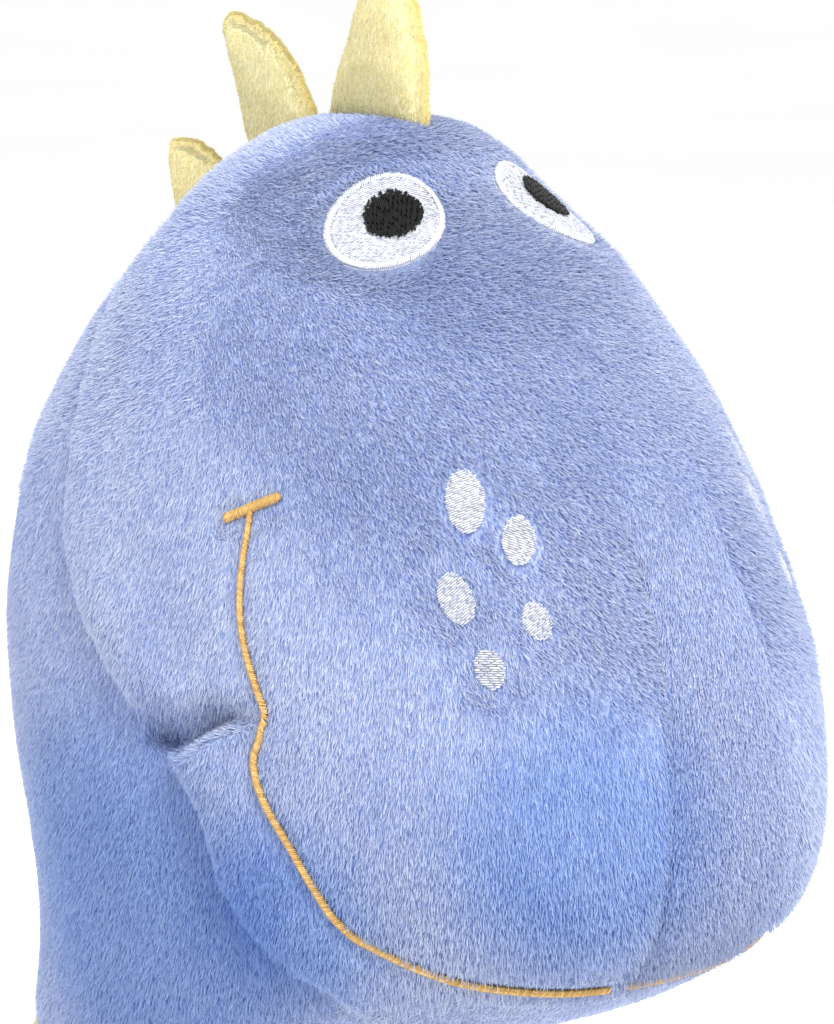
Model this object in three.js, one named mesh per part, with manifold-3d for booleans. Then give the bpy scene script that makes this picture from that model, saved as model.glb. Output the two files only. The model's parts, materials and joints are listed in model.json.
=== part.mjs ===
// Stuffed dinosaur, sitting upright: a big bulbous head on a thick neck, a pear-shaped body with
// two arms, two legs and a tail, and soft spikes on the crown, down the back and on the tail.
// Millimetres, +Z up. The dinosaur faces -Y and its right side is -X.
import * as THREE from "three";
import { mergeVertices } from "three/addons/utils/BufferGeometryUtils.js";
import Module from "manifold-3d";

const wasm = await Module();
wasm.setup();

// ---- driving dimensions -------------------------------------------------------------------
const EYE_HEIGHT = 341; // eye centres above the floor
const SHIFT_Y = 67.75; // puts the origin under the middle of the whole toy
const SKIN = 1.6; // plush cloth with its pile
const SKIN_GAP = 2.8; // between the cloth and the filling
const SEAM_GAP = 1.2; // between two neighbouring panels
const STITCH_LIFT = 0.35; // embroidery stands this far off the cloth
const STITCH_THICK = 0.7;
const NECK_PIVOT = new THREE.Vector3(0, 47, EYE_HEIGHT - 190);
const NECK_BALL = 50;
const NECK_CUP = 51.6;
const HEAD_SKIN_END = EYE_HEIGHT - 164.6;
const TORSO_SKIN_TOP = EYE_HEIGHT - 170.2;
const CHIN_SEAM = EYE_HEIGHT - 154.5;
const TAIL_PIVOT = new THREE.Vector3(0, 112, 46);
const TAIL_BALL = 30;
const TAIL_SOCKET = 32.5;
const BASE_THICK = 1.8;

const COLOURS = {
  plush: { color: 0x8fa9dc, roughness: 0.95, metalness: 0 },
  cream: { color: 0xe9dfb2, roughness: 0.95, metalness: 0 },
  white_thread: { color: 0xe6e8f2, roughness: 0.6, metalness: 0 },
  black_thread: { color: 0x121214, roughness: 0.6, metalness: 0 },
  gold_thread: { color: 0xd9a95c, roughness: 0.5, metalness: 0 },
  filling: { color: 0xf2f1ee, roughness: 1, metalness: 0 },
  pellet_bag: { color: 0xdedcd4, roughness: 0.9, metalness: 0 },
};

// ---- the body's outer form ----------------------------------------------------------------
// Level sections from the crown to the seat. Each row: height from the eyes, front, back,
// widest station (all along Y), half width, and the place of the side seam along Y.
const SECTIONS = [
  [15, 17.9, 18.1, 18, 0.1, 18.1],
  [14.2, 11, 33, 19, 7, 33],
  [12, 6, 40, 20, 17, 40],
  [7, 1, 45.5, 22, 27.5, 45.5],
  [0, -4, 51.5, 24, 37.5, 51.4],
  [-9, -15, 59, 22, 45.5, 51],
  [-20, -27, 70, 19, 52, 54],
  [-41, -45, 88, 15, 59, 51],
  [-60, -57, 96, 12, 63, 49],
  [-80, -66, 99, 10, 66, 33],
  [-100, -71, 98, 8, 67, 6],
  [-118, -72, 95, 8, 65.5, 0],
  [-132, -66, 93.5, 10, 62.5, -9],
  [-143, -54, 93.5, 15, 59, -20],
  [-151, -38, 94, 24, 56, -20],
  [-157, -17, 95, 36, 53, -9],
  [-162, -1, 95.5, 45, 51, 4],
  [-170, 2, 96, 47, 49.5, 9],
  [-190, -3, 97, 46, 51, 10],
  [-215, -14, 101, 44, 57, 8],
  [-245, -26, 106, 41, 63, 4],
  [-275, -34, 110, 39, 67.5, 2],
  [-300, -37, 111, 38, 69, 0],
  [-318, -36, 109, 37, 67.5, 0],
  [-331, -28, 102, 37, 60, 4],
  [-338.5, -12, 86, 37, 45, 12],
];
const [HEIGHT, FRONT, BACK, MIDDLE, HALF, SEAM] = [0, 1, 2, 3, 4, 5];
const SQUARENESS = 2.15;

// Smooth value of one column at a real-numbered row.
function column(row, key) {
  const last = SECTIONS.length - 1;
  const i = Math.min(Math.max(Math.floor(row), 0), last - 1);
  const at = (k) => SECTIONS[Math.min(Math.max(k, 0), last)][key];
  const f = row - i;
  const slopeA = (at(i + 1) - at(i - 1)) / 2;
  const slopeB = (at(i + 2) - at(i)) / 2;
  const f2 = f * f;
  const f3 = f2 * f;
  return (
    at(i) * (2 * f3 - 3 * f2 + 1) + at(i + 1) * (3 * f2 - 2 * f3) +
    slopeA * (f3 - 2 * f2 + f) + slopeB * (f3 - f2)
  );
}

// The row whose section lies at a height above the floor.
function rowAt(z) {
  let low = 0;
  let high = SECTIONS.length - 1;
  for (let step = 0; step < 40; step++) {
    const mid = (low + high) / 2;
    if (column(mid, HEIGHT) + EYE_HEIGHT > z) low = mid;
    else high = mid;
  }
  return (low + high) / 2;
}

const power = (v, p) => Math.sign(v) * Math.abs(v) ** p;

// Angle 0 is the front centre line, +90 the dinosaur's left (+X) and 180 the back centre line.
function bodySurface(row, angle) {
  const middle = column(row, MIDDLE);
  const c = power(Math.cos(angle), 2 / SQUARENESS);
  const s = power(Math.sin(angle), 2 / SQUARENESS);
  const reach = c > 0 ? middle - column(row, FRONT) : column(row, BACK) - middle;
  return new THREE.Vector3(column(row, HALF) * s, middle - reach * c, column(row, HEIGHT) + EYE_HEIGHT);
}

// The angle at which the side seam crosses a row, on the left side.
function seamAngle(row) {
  const middle = column(row, MIDDLE);
  const seam = column(row, SEAM);
  const reach = seam < middle ? middle - column(row, FRONT) : column(row, BACK) - middle;
  const c = Math.min(Math.max((middle - seam) / Math.max(reach, 0.01), -0.9999), 0.9999);
  const slit = 1.2 / Math.max(column(row, HALF), 1.5);
  return Math.min(Math.acos(power(c, SQUARENESS / 2)), Math.PI - slit);
}

// Angle of the point at a given Y on one row.
function angleAtY(row, y, side) {
  const middle = column(row, MIDDLE);
  const reach = y < middle ? middle - column(row, FRONT) : column(row, BACK) - middle;
  const c = Math.min(Math.max((middle - y) / reach, -1), 1);
  return side * Math.acos(power(c, SQUARENESS / 2));
}

// ---- a surface around a bent centre line, for the limbs and the tail -----------------------
// stations: [x, y, z, radius across, radius up]; the ring plane is square to the line.
const TIP_START = 0.8; // share of the line after which the end rounds off

function limbSurface(stations) {
  const line = new THREE.CatmullRomCurve3(stations.map((s) => new THREE.Vector3(s[0], s[1], s[2])));
  const radii = new THREE.CatmullRomCurve3(stations.map((s) => new THREE.Vector3(s[3], s[4], 0)));
  return (t, angle) => {
    const at = Math.min(Math.max(t, 0), 1);
    const centre = line.getPoint(at);
    const along = line.getTangent(at);
    const side = new THREE.Vector3().crossVectors(along, new THREE.Vector3(0, 0, 1)).normalize();
    const up = new THREE.Vector3().crossVectors(side, along).normalize();
    const radius = radii.getPoint(at);
    const tip = at > TIP_START ? Math.sqrt(Math.max(1 - ((at - TIP_START) / (1 - TIP_START)) ** 2, 0)) : 1;
    return centre
      .addScaledVector(side, Math.cos(angle) * radius.x * tip)
      .addScaledVector(up, Math.sin(angle) * radius.y * tip);
  };
}

// ---- meshes --------------------------------------------------------------------------------
function outwardGeometry(points, faces) {
  let volume = 0;
  for (const [a, b, c] of faces) {
    volume += points[a].dot(new THREE.Vector3().crossVectors(points[b], points[c])) / 6;
  }
  const geometry = new THREE.BufferGeometry();
  const positions = points.flatMap((p) => p.toArray());
  geometry.setAttribute("position", new THREE.Float32BufferAttribute(positions, 3));
  geometry.setIndex(faces.flatMap(([a, b, c]) => (volume > 0 ? [a, b, c] : [a, c, b])));
  return geometry;
}

// A closed body through rings of equal count. A wrapped one joins its last ring to its first, as a
// tube with a wall does; otherwise each end is closed by a fan to the ring's middle.
function ringBody(rings, wrapped = false) {
  const count = rings[0].length;
  const points = rings.flat();
  const faces = [];
  const bands = wrapped ? rings.length : rings.length - 1;
  for (let r = 0; r < bands; r++) {
    const next = ((r + 1) % rings.length) * count;
    for (let k = 0; k < count; k++) {
      const turn = (k + 1) % count;
      const [a, b, c, d] = [r * count + k, r * count + turn, next + turn, next + k];
      faces.push([a, b, c], [a, c, d]);
    }
  }
  if (wrapped) return outwardGeometry(points, faces);
  for (const [first, flip] of [[0, false], [(rings.length - 1) * count, true]]) {
    const centre = new THREE.Vector3();
    for (const p of points.slice(first, first + count)) centre.addScaledVector(p, 1 / count);
    const hub = points.push(centre) - 1;
    for (let k = 0; k < count; k++) {
      const a = first + k;
      const b = first + ((k + 1) % count);
      faces.push(flip ? [a, b, hub] : [b, a, hub]);
    }
  }
  return outwardGeometry(points, faces);
}

// The same body on the other side of the centre plane.
function mirror(geometry) {
  const other = geometry.clone().scale(-1, 1, 1);
  const index = other.index.array;
  for (let i = 0; i < index.length; i += 3) [index[i], index[i + 1]] = [index[i + 1], index[i]];
  return other;
}

// A closed thin body between two grids of the same size.
function sheetBody(outer, inner) {
  const rows = outer.length;
  const cols = outer[0].length;
  const points = [...outer.flat(), ...inner.flat()];
  const faces = [];
  const quad = (a, b, c, d) => faces.push([a, b, c], [a, c, d]);
  const o = (i, j) => i * cols + j;
  const n = (i, j) => rows * cols + i * cols + j;
  for (let i = 0; i + 1 < rows; i++) {
    for (let j = 0; j + 1 < cols; j++) {
      quad(o(i, j), o(i, j + 1), o(i + 1, j + 1), o(i + 1, j));
      quad(n(i, j), n(i + 1, j), n(i + 1, j + 1), n(i, j + 1));
    }
  }
  for (let j = 0; j + 1 < cols; j++) {
    quad(o(0, j), n(0, j), n(0, j + 1), o(0, j + 1));
    quad(o(rows - 1, j), o(rows - 1, j + 1), n(rows - 1, j + 1), n(rows - 1, j));
  }
  for (let i = 0; i + 1 < rows; i++) {
    quad(o(i, 0), o(i + 1, 0), n(i + 1, 0), n(i, 0));
    quad(o(i, cols - 1), n(i, cols - 1), n(i + 1, cols - 1), o(i + 1, cols - 1));
  }
  return outwardGeometry(points, faces);
}

const range = (count) => Array.from({ length: count }, (_, i) => i);
const lerp = (a, b, f) => a + (b - a) * f;

// Point of a surface moved along its outward normal.
function offsetPoint(surface, u, v, distance, inside) {
  const step = 0.004;
  const p = surface(u, v);
  const du = surface(u + step, v).sub(surface(u - step, v));
  const dv = surface(u, v + step).sub(surface(u, v - step));
  const normal = du.cross(dv).normalize();
  if (normal.dot(p.clone().sub(inside(u))) < 0) normal.negate();
  return p.addScaledVector(normal, distance);
}

const bodyInside = (row) =>
  new THREE.Vector3(0, column(row, MIDDLE), Math.min(column(row, HEIGHT), -25) + EYE_HEIGHT);
const onBody = (row, angle, distance) => offsetPoint(bodySurface, row, angle, distance, bodyInside);

// A cloth panel of the body between two heights and two angle limits, given per row.
function bodyPanel(rowTop, rowBottom, angleLow, angleHigh, rows, cols) {
  const grid = (distance) =>
    range(rows).map((i) => {
      const row = lerp(rowTop, rowBottom, i / (rows - 1));
      const angles = range(cols).map((j) => lerp(angleLow(row), angleHigh(row), j / (cols - 1)));
      return angles.map((angle) => onBody(row, angle, distance));
    });
  return sheetBody(grid(0), grid(-SKIN));
}

// A solid filling under the cloth, between two rows.
function bodyFilling(rowTop, rowBottom, rows, cols) {
  return ringBody(
    range(rows).map((i) => {
      const row = lerp(rowTop, rowBottom, i / (rows - 1));
      return range(cols).map((j) => onBody(row, (j / cols) * 2 * Math.PI, -SKIN - SKIN_GAP));
    }),
  );
}

function solid(geometry) {
  const plain = geometry.clone();
  plain.deleteAttribute("normal");
  plain.deleteAttribute("uv");
  const merged = mergeVertices(plain, 1e-4);
  return new wasm.Manifold(
    new wasm.Mesh({
      numProp: 3,
      vertProperties: new Float32Array(merged.attributes.position.array),
      triVerts: new Uint32Array(merged.index.array),
    }),
  );
}

function fromSolid(body) {
  const mesh = body.getMesh();
  const geometry = new THREE.BufferGeometry();
  geometry.setAttribute("position", new THREE.BufferAttribute(new Float32Array(mesh.vertProperties), 3));
  geometry.setIndex(new THREE.BufferAttribute(new Uint32Array(mesh.triVerts), 1));
  return geometry;
}

const ball = (centre, radius) =>
  solid(new THREE.SphereGeometry(radius, 28, 18).translate(centre.x, centre.y, centre.z));

// ---- assembly ------------------------------------------------------------------------------
const dinosaur = new THREE.Group();
dinosaur.position.y = -SHIFT_Y;

function add(name, geometry, colour) {
  const mesh = new THREE.Mesh(geometry, new THREE.MeshStandardMaterial(COLOURS[colour]));
  mesh.name = name;
  dinosaur.add(mesh);
}

const SIDES = [["right", -1], ["left", 1]];
const gapAngle = (row) => SEAM_GAP / Math.max(column(row, HALF), 3);

// ---- head ----------------------------------------------------------------------------------
const CROWN_ROW = 0.35;
const SEAM_TOP_ROW = 4.2;
const chinRow = rowAt(CHIN_SEAM);
const headEndRow = rowAt(HEAD_SKIN_END);
add(
  "face_panel",
  bodyPanel(CROWN_ROW, chinRow, (r) => -seamAngle(r), seamAngle, 25, 25),
  "plush",
);
add(
  "chin_panel",
  bodyPanel(chinRow + 0.08, headEndRow, (r) => -seamAngle(r), seamAngle, 5, 13),
  "plush",
);
for (const [side, sign] of SIDES) {
  const nearSeam = (r) => sign * (seamAngle(r) + gapAngle(r));
  const nearSpine = (r) => sign * (Math.PI - gapAngle(r));
  add(`head_back_panel_${side}`, bodyPanel(SEAM_TOP_ROW, headEndRow, nearSeam, nearSpine, 17, 7), "plush");
}
const headFilling = solid(bodyFilling(0.8, headEndRow, 21, 26));
add("head_stuffing", fromSolid(headFilling.subtract(ball(NECK_PIVOT, NECK_CUP))), "filling");

// ---- embroidery ----------------------------------------------------------------------------
// An oval patch lying on the cloth, centred on a row and angle; its axes are turned by tilt.
function ovalPatch(height, y, side, halfLong, halfShort, tilt, lift, rings = 3, count = 16) {
  const row = rowAt(EYE_HEIGHT + height);
  const angle = angleAtY(row, y, side);
  const step = 0.01;
  const down = bodySurface(row + step, angle).distanceTo(bodySurface(row - step, angle)) / (2 * step);
  const round = bodySurface(row, angle + step).distanceTo(bodySurface(row, angle - step)) / (2 * step);
  const ring = (fraction, distance) =>
    range(count).map((k) => {
      const turn = (k / count) * 2 * Math.PI;
      const long = Math.cos(turn) * halfLong * fraction;
      const short = Math.sin(turn) * halfShort * fraction;
      const along = long * Math.cos(tilt) - short * Math.sin(tilt);
      const drop = long * Math.sin(tilt) + short * Math.cos(tilt);
      return onBody(row + drop / down, angle + (side * along) / round, distance);
    });
  const fractions = range(rings).map((i) => (i + 1) / rings);
  const top = fractions.map((f) => ring(f, lift + STITCH_THICK));
  const under = fractions.map((f) => ring(f, lift)).reverse();
  return ringBody([...top, ...under]);
}

const EYE = { height: -0.8, y: -0.5, long: 14.2, short: 11, tilt: 0.75 };
const PUPIL = { height: -0.6, long: 7.2, short: 5.9, tilt: 0.75 };
const GAZE_Y = { right: -1.1, left: 0.6 }; // both pupils look a little to the toy's left
// Cheek spots: height, Y, half long, half short, tilt.
const CHEEK_SPOTS = [
  [-48, -37.5, 7.1, 4.2, 1.28],
  [-54.6, -45.4, 5.7, 3.7, 1.2],
  [-64, -41.2, 5.8, 4, 1.62],
  [-68.1, -51.5, 4.4, 3.5, 1.5],
  [-76, -48.2, 4.6, 3.5, 1.5],
];
for (const [side, sign] of SIDES) {
  add(
    `eye_white_${side}`,
    ovalPatch(EYE.height, EYE.y, sign, EYE.long, EYE.short, EYE.tilt, STITCH_LIFT),
    "white_thread",
  );
  const pupilLift = 2 * STITCH_LIFT + STITCH_THICK;
  add(
    `eye_pupil_${side}`,
    ovalPatch(PUPIL.height, GAZE_Y[side], sign, PUPIL.long, PUPIL.short, PUPIL.tilt, pupilLift),
    "black_thread",
  );
  CHEEK_SPOTS.forEach(([height, y, long, short, tilt], i) => {
    add(
      `cheek_spot_${side}_${i + 1}`,
      ovalPatch(height, y, sign, long, short, tilt, STITCH_LIFT, 2, 12),
      "white_thread",
    );
  });
}

// The smile: a line of stitching that runs down the cheek and forward round the muzzle.
// Points: height from the eyes, Y.
const SMILE = [
  [-50, -4.2], [-58, -4.2], [-67, -4.8], [-74, -6.6], [-80.5, -9.6], [-87, -12.2], [-95, -10.4],
  [-102, -12.9], [-109, -17.4], [-116, -21.5], [-124.5, -26.5], [-130.5, -35], [-135, -42], [-138, -51],
];
const DART_ANGLE = 0.26; // where the mouth line crosses the snout dart
const DART_CLEAR = 0.03;
const SMILE_FRONT_HEIGHT = -139.3;
const CORNER_BAR = [[-52.8, 1.6], [-51.4, -1.3], [-50.1, -4.1], [-48.8, -7], [-47.6, -9.8]];
const LINE_HALF = 0.9;

function stitchLine(places) {
  const strip = (offsetSide, distance) =>
    places.map(([row, angle], i) => {
      const before = places[Math.max(i - 1, 0)];
      const after = places[Math.min(i + 1, places.length - 1)];
      const a = onBody(before[0], before[1], 0);
      const b = onBody(after[0], after[1], 0);
      const here = onBody(row, angle, distance);
      const out = onBody(row, angle, 1).sub(onBody(row, angle, 0)).normalize();
      const across = b.sub(a).cross(out).normalize();
      return here.addScaledVector(across, offsetSide * LINE_HALF);
    });
  const low = STITCH_LIFT;
  const high = STITCH_LIFT + STITCH_THICK;
  return sheetBody([strip(-1, high), strip(1, high)], [strip(-1, low), strip(1, low)]);
}

// Rows and angles of points given by height and Y, on one side.
const onCheek = (points, sign) =>
  points.map(([height, y]) => {
    const row = rowAt(EYE_HEIGHT + height);
    return [row, angleAtY(row, y, sign)];
  });

const frontRow = rowAt(EYE_HEIGHT + SMILE_FRONT_HEIGHT);
for (const [side, sign] of SIDES) {
  const placed = onCheek(SMILE, sign);
  placed.push([frontRow, sign * (DART_ANGLE + DART_CLEAR)]);
  const curve = new THREE.CatmullRomCurve3(placed.map(([r, a]) => new THREE.Vector3(r, a * 10, 0)));
  const fine = curve.getPoints(26).map((p) => [p.x, p.y / 10]);
  add(`mouth_line_${side}`, stitchLine(fine.slice(1)), "gold_thread");
  add(`mouth_corner_${side}`, stitchLine(onCheek(CORNER_BAR, sign)), "gold_thread");
}
const frontHalf = DART_ANGLE - DART_CLEAR;
const frontLine = range(9).map((i) => [frontRow, lerp(-frontHalf, frontHalf, i / 8)]);
add("mouth_line_center", stitchLine(frontLine), "gold_thread");

// ---- torso ---------------------------------------------------------------------------------
const torsoTopRow = rowAt(TORSO_SKIN_TOP);
const seatRow = SECTIONS.length - 1;
const tailSocket = ball(TAIL_PIVOT, TAIL_SOCKET);
add(
  "belly_panel",
  bodyPanel(torsoTopRow, seatRow, (r) => -seamAngle(r), seamAngle, 11, 11),
  "plush",
);
for (const [side, sign] of SIDES) {
  const nearSeam = (r) => sign * (seamAngle(r) + gapAngle(r));
  const nearSpine = (r) => sign * (Math.PI - gapAngle(r));
  const panel = solid(bodyPanel(torsoTopRow, seatRow, nearSeam, nearSpine, 11, 12));
  add(`body_back_panel_${side}`, fromSolid(panel.subtract(tailSocket)), "plush");
}
const POUCH_TOP = 42;
const neckTopRow = rowAt(EYE_HEIGHT - 128);
const pouchRow = rowAt(POUCH_TOP);
const neckBall = ball(NECK_PIVOT, NECK_BALL);
const pivotRow = rowAt(NECK_PIVOT.z);
const upper = solid(bodyFilling(neckTopRow, pivotRow, 7, 26)).intersect(neckBall);
const lower = solid(bodyFilling(pivotRow - 0.02, pouchRow, 8, 26));
add("body_stuffing", fromSolid(upper.add(lower).subtract(tailSocket)), "filling");
const pouch = solid(bodyFilling(pouchRow + 0.04, seatRow - 0.05, 5, 24));
add("pellet_pouch", fromSolid(pouch.subtract(tailSocket)), "pellet_bag");

// The flat seat that the toy rests on.
function seatRing(scale, z) {
  return range(28).map((k) => {
    const p = bodySurface(seatRow, (k / 28) * 2 * Math.PI);
    const middle = column(seatRow, MIDDLE);
    return new THREE.Vector3(p.x * scale, middle + (p.y - middle) * scale, z);
  });
}
add("seat_panel", ringBody([seatRing(0.99, 0), seatRing(1, BASE_THICK)]), "plush");

// ---- spikes --------------------------------------------------------------------------------
const SPIKE_LIFT = 1.2;
const SPIKE_EDGE = 0.9; // half the thickness of the sewn edge

// A shark-fin pocket: convex front edge, hollow back edge and a rounded tip that leans back.
// It stands on the centre line between two points of the back, given as [y, z].
function spike(base, height, lean, thick) {
  const [front, rear] = base;
  const start = new THREE.Vector2(front[0], front[1]);
  const end = new THREE.Vector2(rear[0], rear[1]);
  const along = end.clone().sub(start);
  const width = along.length();
  along.normalize();
  const up = new THREE.Vector2(-along.y, along.x);
  const at = (a, h) => start.clone().addScaledVector(along, a * width).addScaledVector(up, h * height);
  const frontBulge = [at(0.02 + lean * 0.9, 0.45), at(0.22 + lean * 1.1, 0.8)];
  const tip = at(0.45 + lean, 1);
  const tipRound = at(0.58 + lean, 1.03);
  const tipBack = at(0.62 + lean, 0.93);
  const backHollow = at(0.7 + lean * 0.5, 0.45);
  const outline = [
    ...new THREE.CubicBezierCurve(at(0, 0), ...frontBulge, tip).getPoints(4),
    ...new THREE.QuadraticBezierCurve(tip, tipRound, tipBack).getPoints(4).slice(1),
    ...new THREE.QuadraticBezierCurve(tipBack, backHollow, at(1, 0)).getPoints(4).slice(1),
  ];
  const hub = at(0.45 + lean * 0.4, 0.36);
  const ring = (scale, x) =>
    outline.map((q) => new THREE.Vector3(x, lerp(hub.x, q.x, scale), lerp(hub.y, q.y, scale)));
  return ringBody([
    ring(0.35, -thick), ring(0.75, -thick * 0.8), ring(1, -SPIKE_EDGE),
    ring(1, SPIKE_EDGE), ring(0.75, thick * 0.8), ring(0.35, thick),
  ]);
}

// A point of the centre line just off the cloth, behind or in front, at a row.
const centreLine = (row, angle, lift) => {
  const p = onBody(row, angle, lift);
  return [p.y, p.z];
};
const spine = (row, lift) => centreLine(row, Math.PI, lift);
const brow = (row, lift) => centreLine(row, 0, lift);
const CROWN_SPIKES = [
  [brow(1.55, SPIKE_LIFT + 0.6), spine(1.1, SPIKE_LIFT + 1), 34, 0, 4],
  [spine(1.5, SPIKE_LIFT + 1), spine(4.1, SPIKE_LIFT + 0.8), 28.5, -0.25, 3.6],
  [spine(4.8, SPIKE_LIFT), spine(6.2, SPIKE_LIFT + 0.5), 22.5, -0.32, 3.4],
];
CROWN_SPIKES.forEach(([front, rear, height, lean, thick], i) => {
  add(`spike_${i + 1}`, spike([front, rear], height, lean, thick), "cream");
});
const BACK_SPIKES = [
  [17.2, 18, 24], [18.55, 19.25, 24], [19.8, 20.45, 22],
];
BACK_SPIKES.forEach(([top, bottom, height], i) => {
  const base = [spine(top, SPIKE_LIFT + 0.8), spine(bottom, SPIKE_LIFT + 0.8)];
  add(`spike_${i + 4}`, spike(base, height, 0.2, 3.2), "cream");
});

// ---- arms, legs and tail -------------------------------------------------------------------
// One ring of a limb's surface at a station, moved along the surface's normal.
function limbRing(surface, t, distance, cols) {
  const inside = (at) => surface(at, 0).add(surface(at, Math.PI)).multiplyScalar(0.5);
  return range(cols).map((k) => offsetPoint(surface, t, (k / cols) * 2 * Math.PI, distance, inside));
}

// Stations from the root to the end, closer together where the end rounds off.
const towardsTip = (rootT, endT, rows) =>
  range(rows).map((i) => lerp(rootT, endT, 1 - (1 - i / (rows - 1)) ** 1.6));

// Cloth with an open root and a closed end.
const WALL_END = 0.012; // the inner face stops this share of the line before the outer one
function limbSkin(surface, rootT, endT, rows, cols) {
  const stations = towardsTip(rootT, endT, rows);
  const outer = stations.map((t) => limbRing(surface, t, 0, cols)).reverse();
  const inner = stations.map((t) => limbRing(surface, Math.min(t, endT - WALL_END), -SKIN, cols));
  return ringBody([...outer, ...inner]);
}

// The filling of a limb.
function limbFilling(surface, rootT, endT, rows, cols) {
  const stations = towardsTip(rootT, endT - 0.03, rows);
  return ringBody(stations.map((t) => limbRing(surface, t, -SKIN - SKIN_GAP, cols)));
}

// Cloth open at both ends, for a leg whose end is closed by a sole.
function sleeve(surface, rootT, endT, rows, cols) {
  const stations = range(rows).map((i) => lerp(rootT, endT, i / (rows - 1)));
  const outer = stations.map((t) => limbRing(surface, t, 0, cols));
  const inner = stations.map((t) => limbRing(surface, t, -SKIN, cols)).reverse();
  return ringBody([...outer, ...inner], true);
}

function addPair(name, geometry, colour) {
  add(`${name}_left`, geometry, colour);
  add(`${name}_right`, mirror(geometry), colour);
}

const LIMB_END = 0.992;
const ARM_ROOT = 0.05;
const arm = limbSurface([
  [54.5, 16, 146, 15, 15], [64, 10, 141, 15, 15.5], [71, -6, 131, 14, 15],
  [73, -24, 122, 12.5, 13.5], [72, -42, 116, 10.5, 11.5],
]);
addPair("arm_skin", limbSkin(arm, ARM_ROOT, LIMB_END, 7, 12), "plush");
addPair("arm_stuffing", limbFilling(arm, ARM_ROOT, LIMB_END, 6, 10), "filling");

const FOOT_ROOT = 0.02;
const FOOT_END = 0.78; // the leg's blunt end, before its line closes to a point
const legLine = limbSurface([
  [71.5, 22, 33, 25, 25], [80, 19, 33, 26, 26], [92, 0, 33, 26, 26],
  [98, -30, 32, 25, 26], [101, -62, 32, 24, 27], [102, -88, 35, 25, 32],
]);
const leg = (t, angle) => legLine(t * FOOT_END, angle);
const legMiddle = (t) => leg(t, 0).add(leg(t, Math.PI)).multiplyScalar(0.5);
const legFillingStations = range(6).map((i) => lerp(FOOT_ROOT, 0.985, i / 5));
const LEG_COLS = 16;
addPair("leg_skin", sleeve(leg, FOOT_ROOT, 1, 7, LEG_COLS), "plush");
addPair(
  "leg_stuffing",
  ringBody(legFillingStations.map((t) => limbRing(leg, t, -SKIN - SKIN_GAP, LEG_COLS))),
  "filling",
);
const heel = legMiddle(1);
const forward = heel.clone().sub(legMiddle(0.97)).normalize();
const soleRing = (scale, lift) =>
  range(LEG_COLS).map((k) => {
    const p = leg(1, (k / LEG_COLS) * 2 * Math.PI);
    return heel.clone().addScaledVector(p.sub(heel), scale).addScaledVector(forward, lift);
  });
addPair(
  "leg_sole",
  ringBody([soleRing(0.99, 0.5), soleRing(0.99, 1.1), soleRing(0.9, 3), soleRing(0.5, 4.6)]),
  "cream",
);

const TAIL = [
  [0, 112, 46, 30, 30], [0, 135, 42, 27.5, 27], [0, 160, 37, 22.5, 22],
  [0, 185, 34, 16.5, 16], [0, 208, 36, 10.5, 10.5],
];
const tail = limbSurface(TAIL);
add("tail_skin", limbSkin(tail, 0, LIMB_END, 8, 16), "plush");
const tailFilling = solid(limbFilling(tail, 0, LIMB_END, 6, 14));
const tailBall = ball(TAIL_PIVOT, TAIL_BALL - SKIN - SKIN_GAP);
add("tail_stuffing", fromSolid(tailFilling.add(tailBall)), "filling");
const tailTop = (t, lift) => {
  const p = tail(t, Math.PI / 2);
  return [p.y, p.z + lift];
};
const TAIL_SPIKES = [[0.2, 0.38, 20], [0.45, 0.62, 16], [0.68, 0.82, 12]];
const firstTailSpike = 1 + CROWN_SPIKES.length + BACK_SPIKES.length;
TAIL_SPIKES.forEach(([from, to, height], i) => {
  const base = [tailTop(from, SPIKE_LIFT), tailTop(to, SPIKE_LIFT)];
  add(`spike_${firstTailSpike + i}`, spike(base, height, 0.2, 2.6), "cream");
});

export default dinosaur;
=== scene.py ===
"""Stuffed dinosaur: the looks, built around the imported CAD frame. Metres, +Z up, face towards -Y."""

import json
import math

import bmesh
import bpy
import numpy as np
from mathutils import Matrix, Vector, noise
from mathutils.bvhtree import BVHTree
from mathutils.kdtree import KDTree


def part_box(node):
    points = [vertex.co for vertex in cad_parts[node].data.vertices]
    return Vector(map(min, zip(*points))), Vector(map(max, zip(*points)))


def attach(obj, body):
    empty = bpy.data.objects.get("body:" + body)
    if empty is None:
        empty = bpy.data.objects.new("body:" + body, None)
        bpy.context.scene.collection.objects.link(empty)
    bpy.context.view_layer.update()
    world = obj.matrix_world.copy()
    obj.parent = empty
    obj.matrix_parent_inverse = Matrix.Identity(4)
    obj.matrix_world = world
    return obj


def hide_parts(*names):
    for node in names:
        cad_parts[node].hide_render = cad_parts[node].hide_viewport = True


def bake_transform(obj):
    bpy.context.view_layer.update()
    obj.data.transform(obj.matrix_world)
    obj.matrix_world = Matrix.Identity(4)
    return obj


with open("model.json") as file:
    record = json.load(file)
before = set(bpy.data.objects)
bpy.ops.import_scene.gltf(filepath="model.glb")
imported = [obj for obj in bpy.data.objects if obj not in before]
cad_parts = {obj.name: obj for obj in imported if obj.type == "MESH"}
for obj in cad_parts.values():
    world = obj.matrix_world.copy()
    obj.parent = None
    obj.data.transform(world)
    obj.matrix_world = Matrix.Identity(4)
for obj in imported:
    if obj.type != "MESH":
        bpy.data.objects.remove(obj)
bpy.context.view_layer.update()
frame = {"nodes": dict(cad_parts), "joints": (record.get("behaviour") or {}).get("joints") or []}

MM = 0.001
SIDES = (("right", -1.0), ("left", 1.0))

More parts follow.
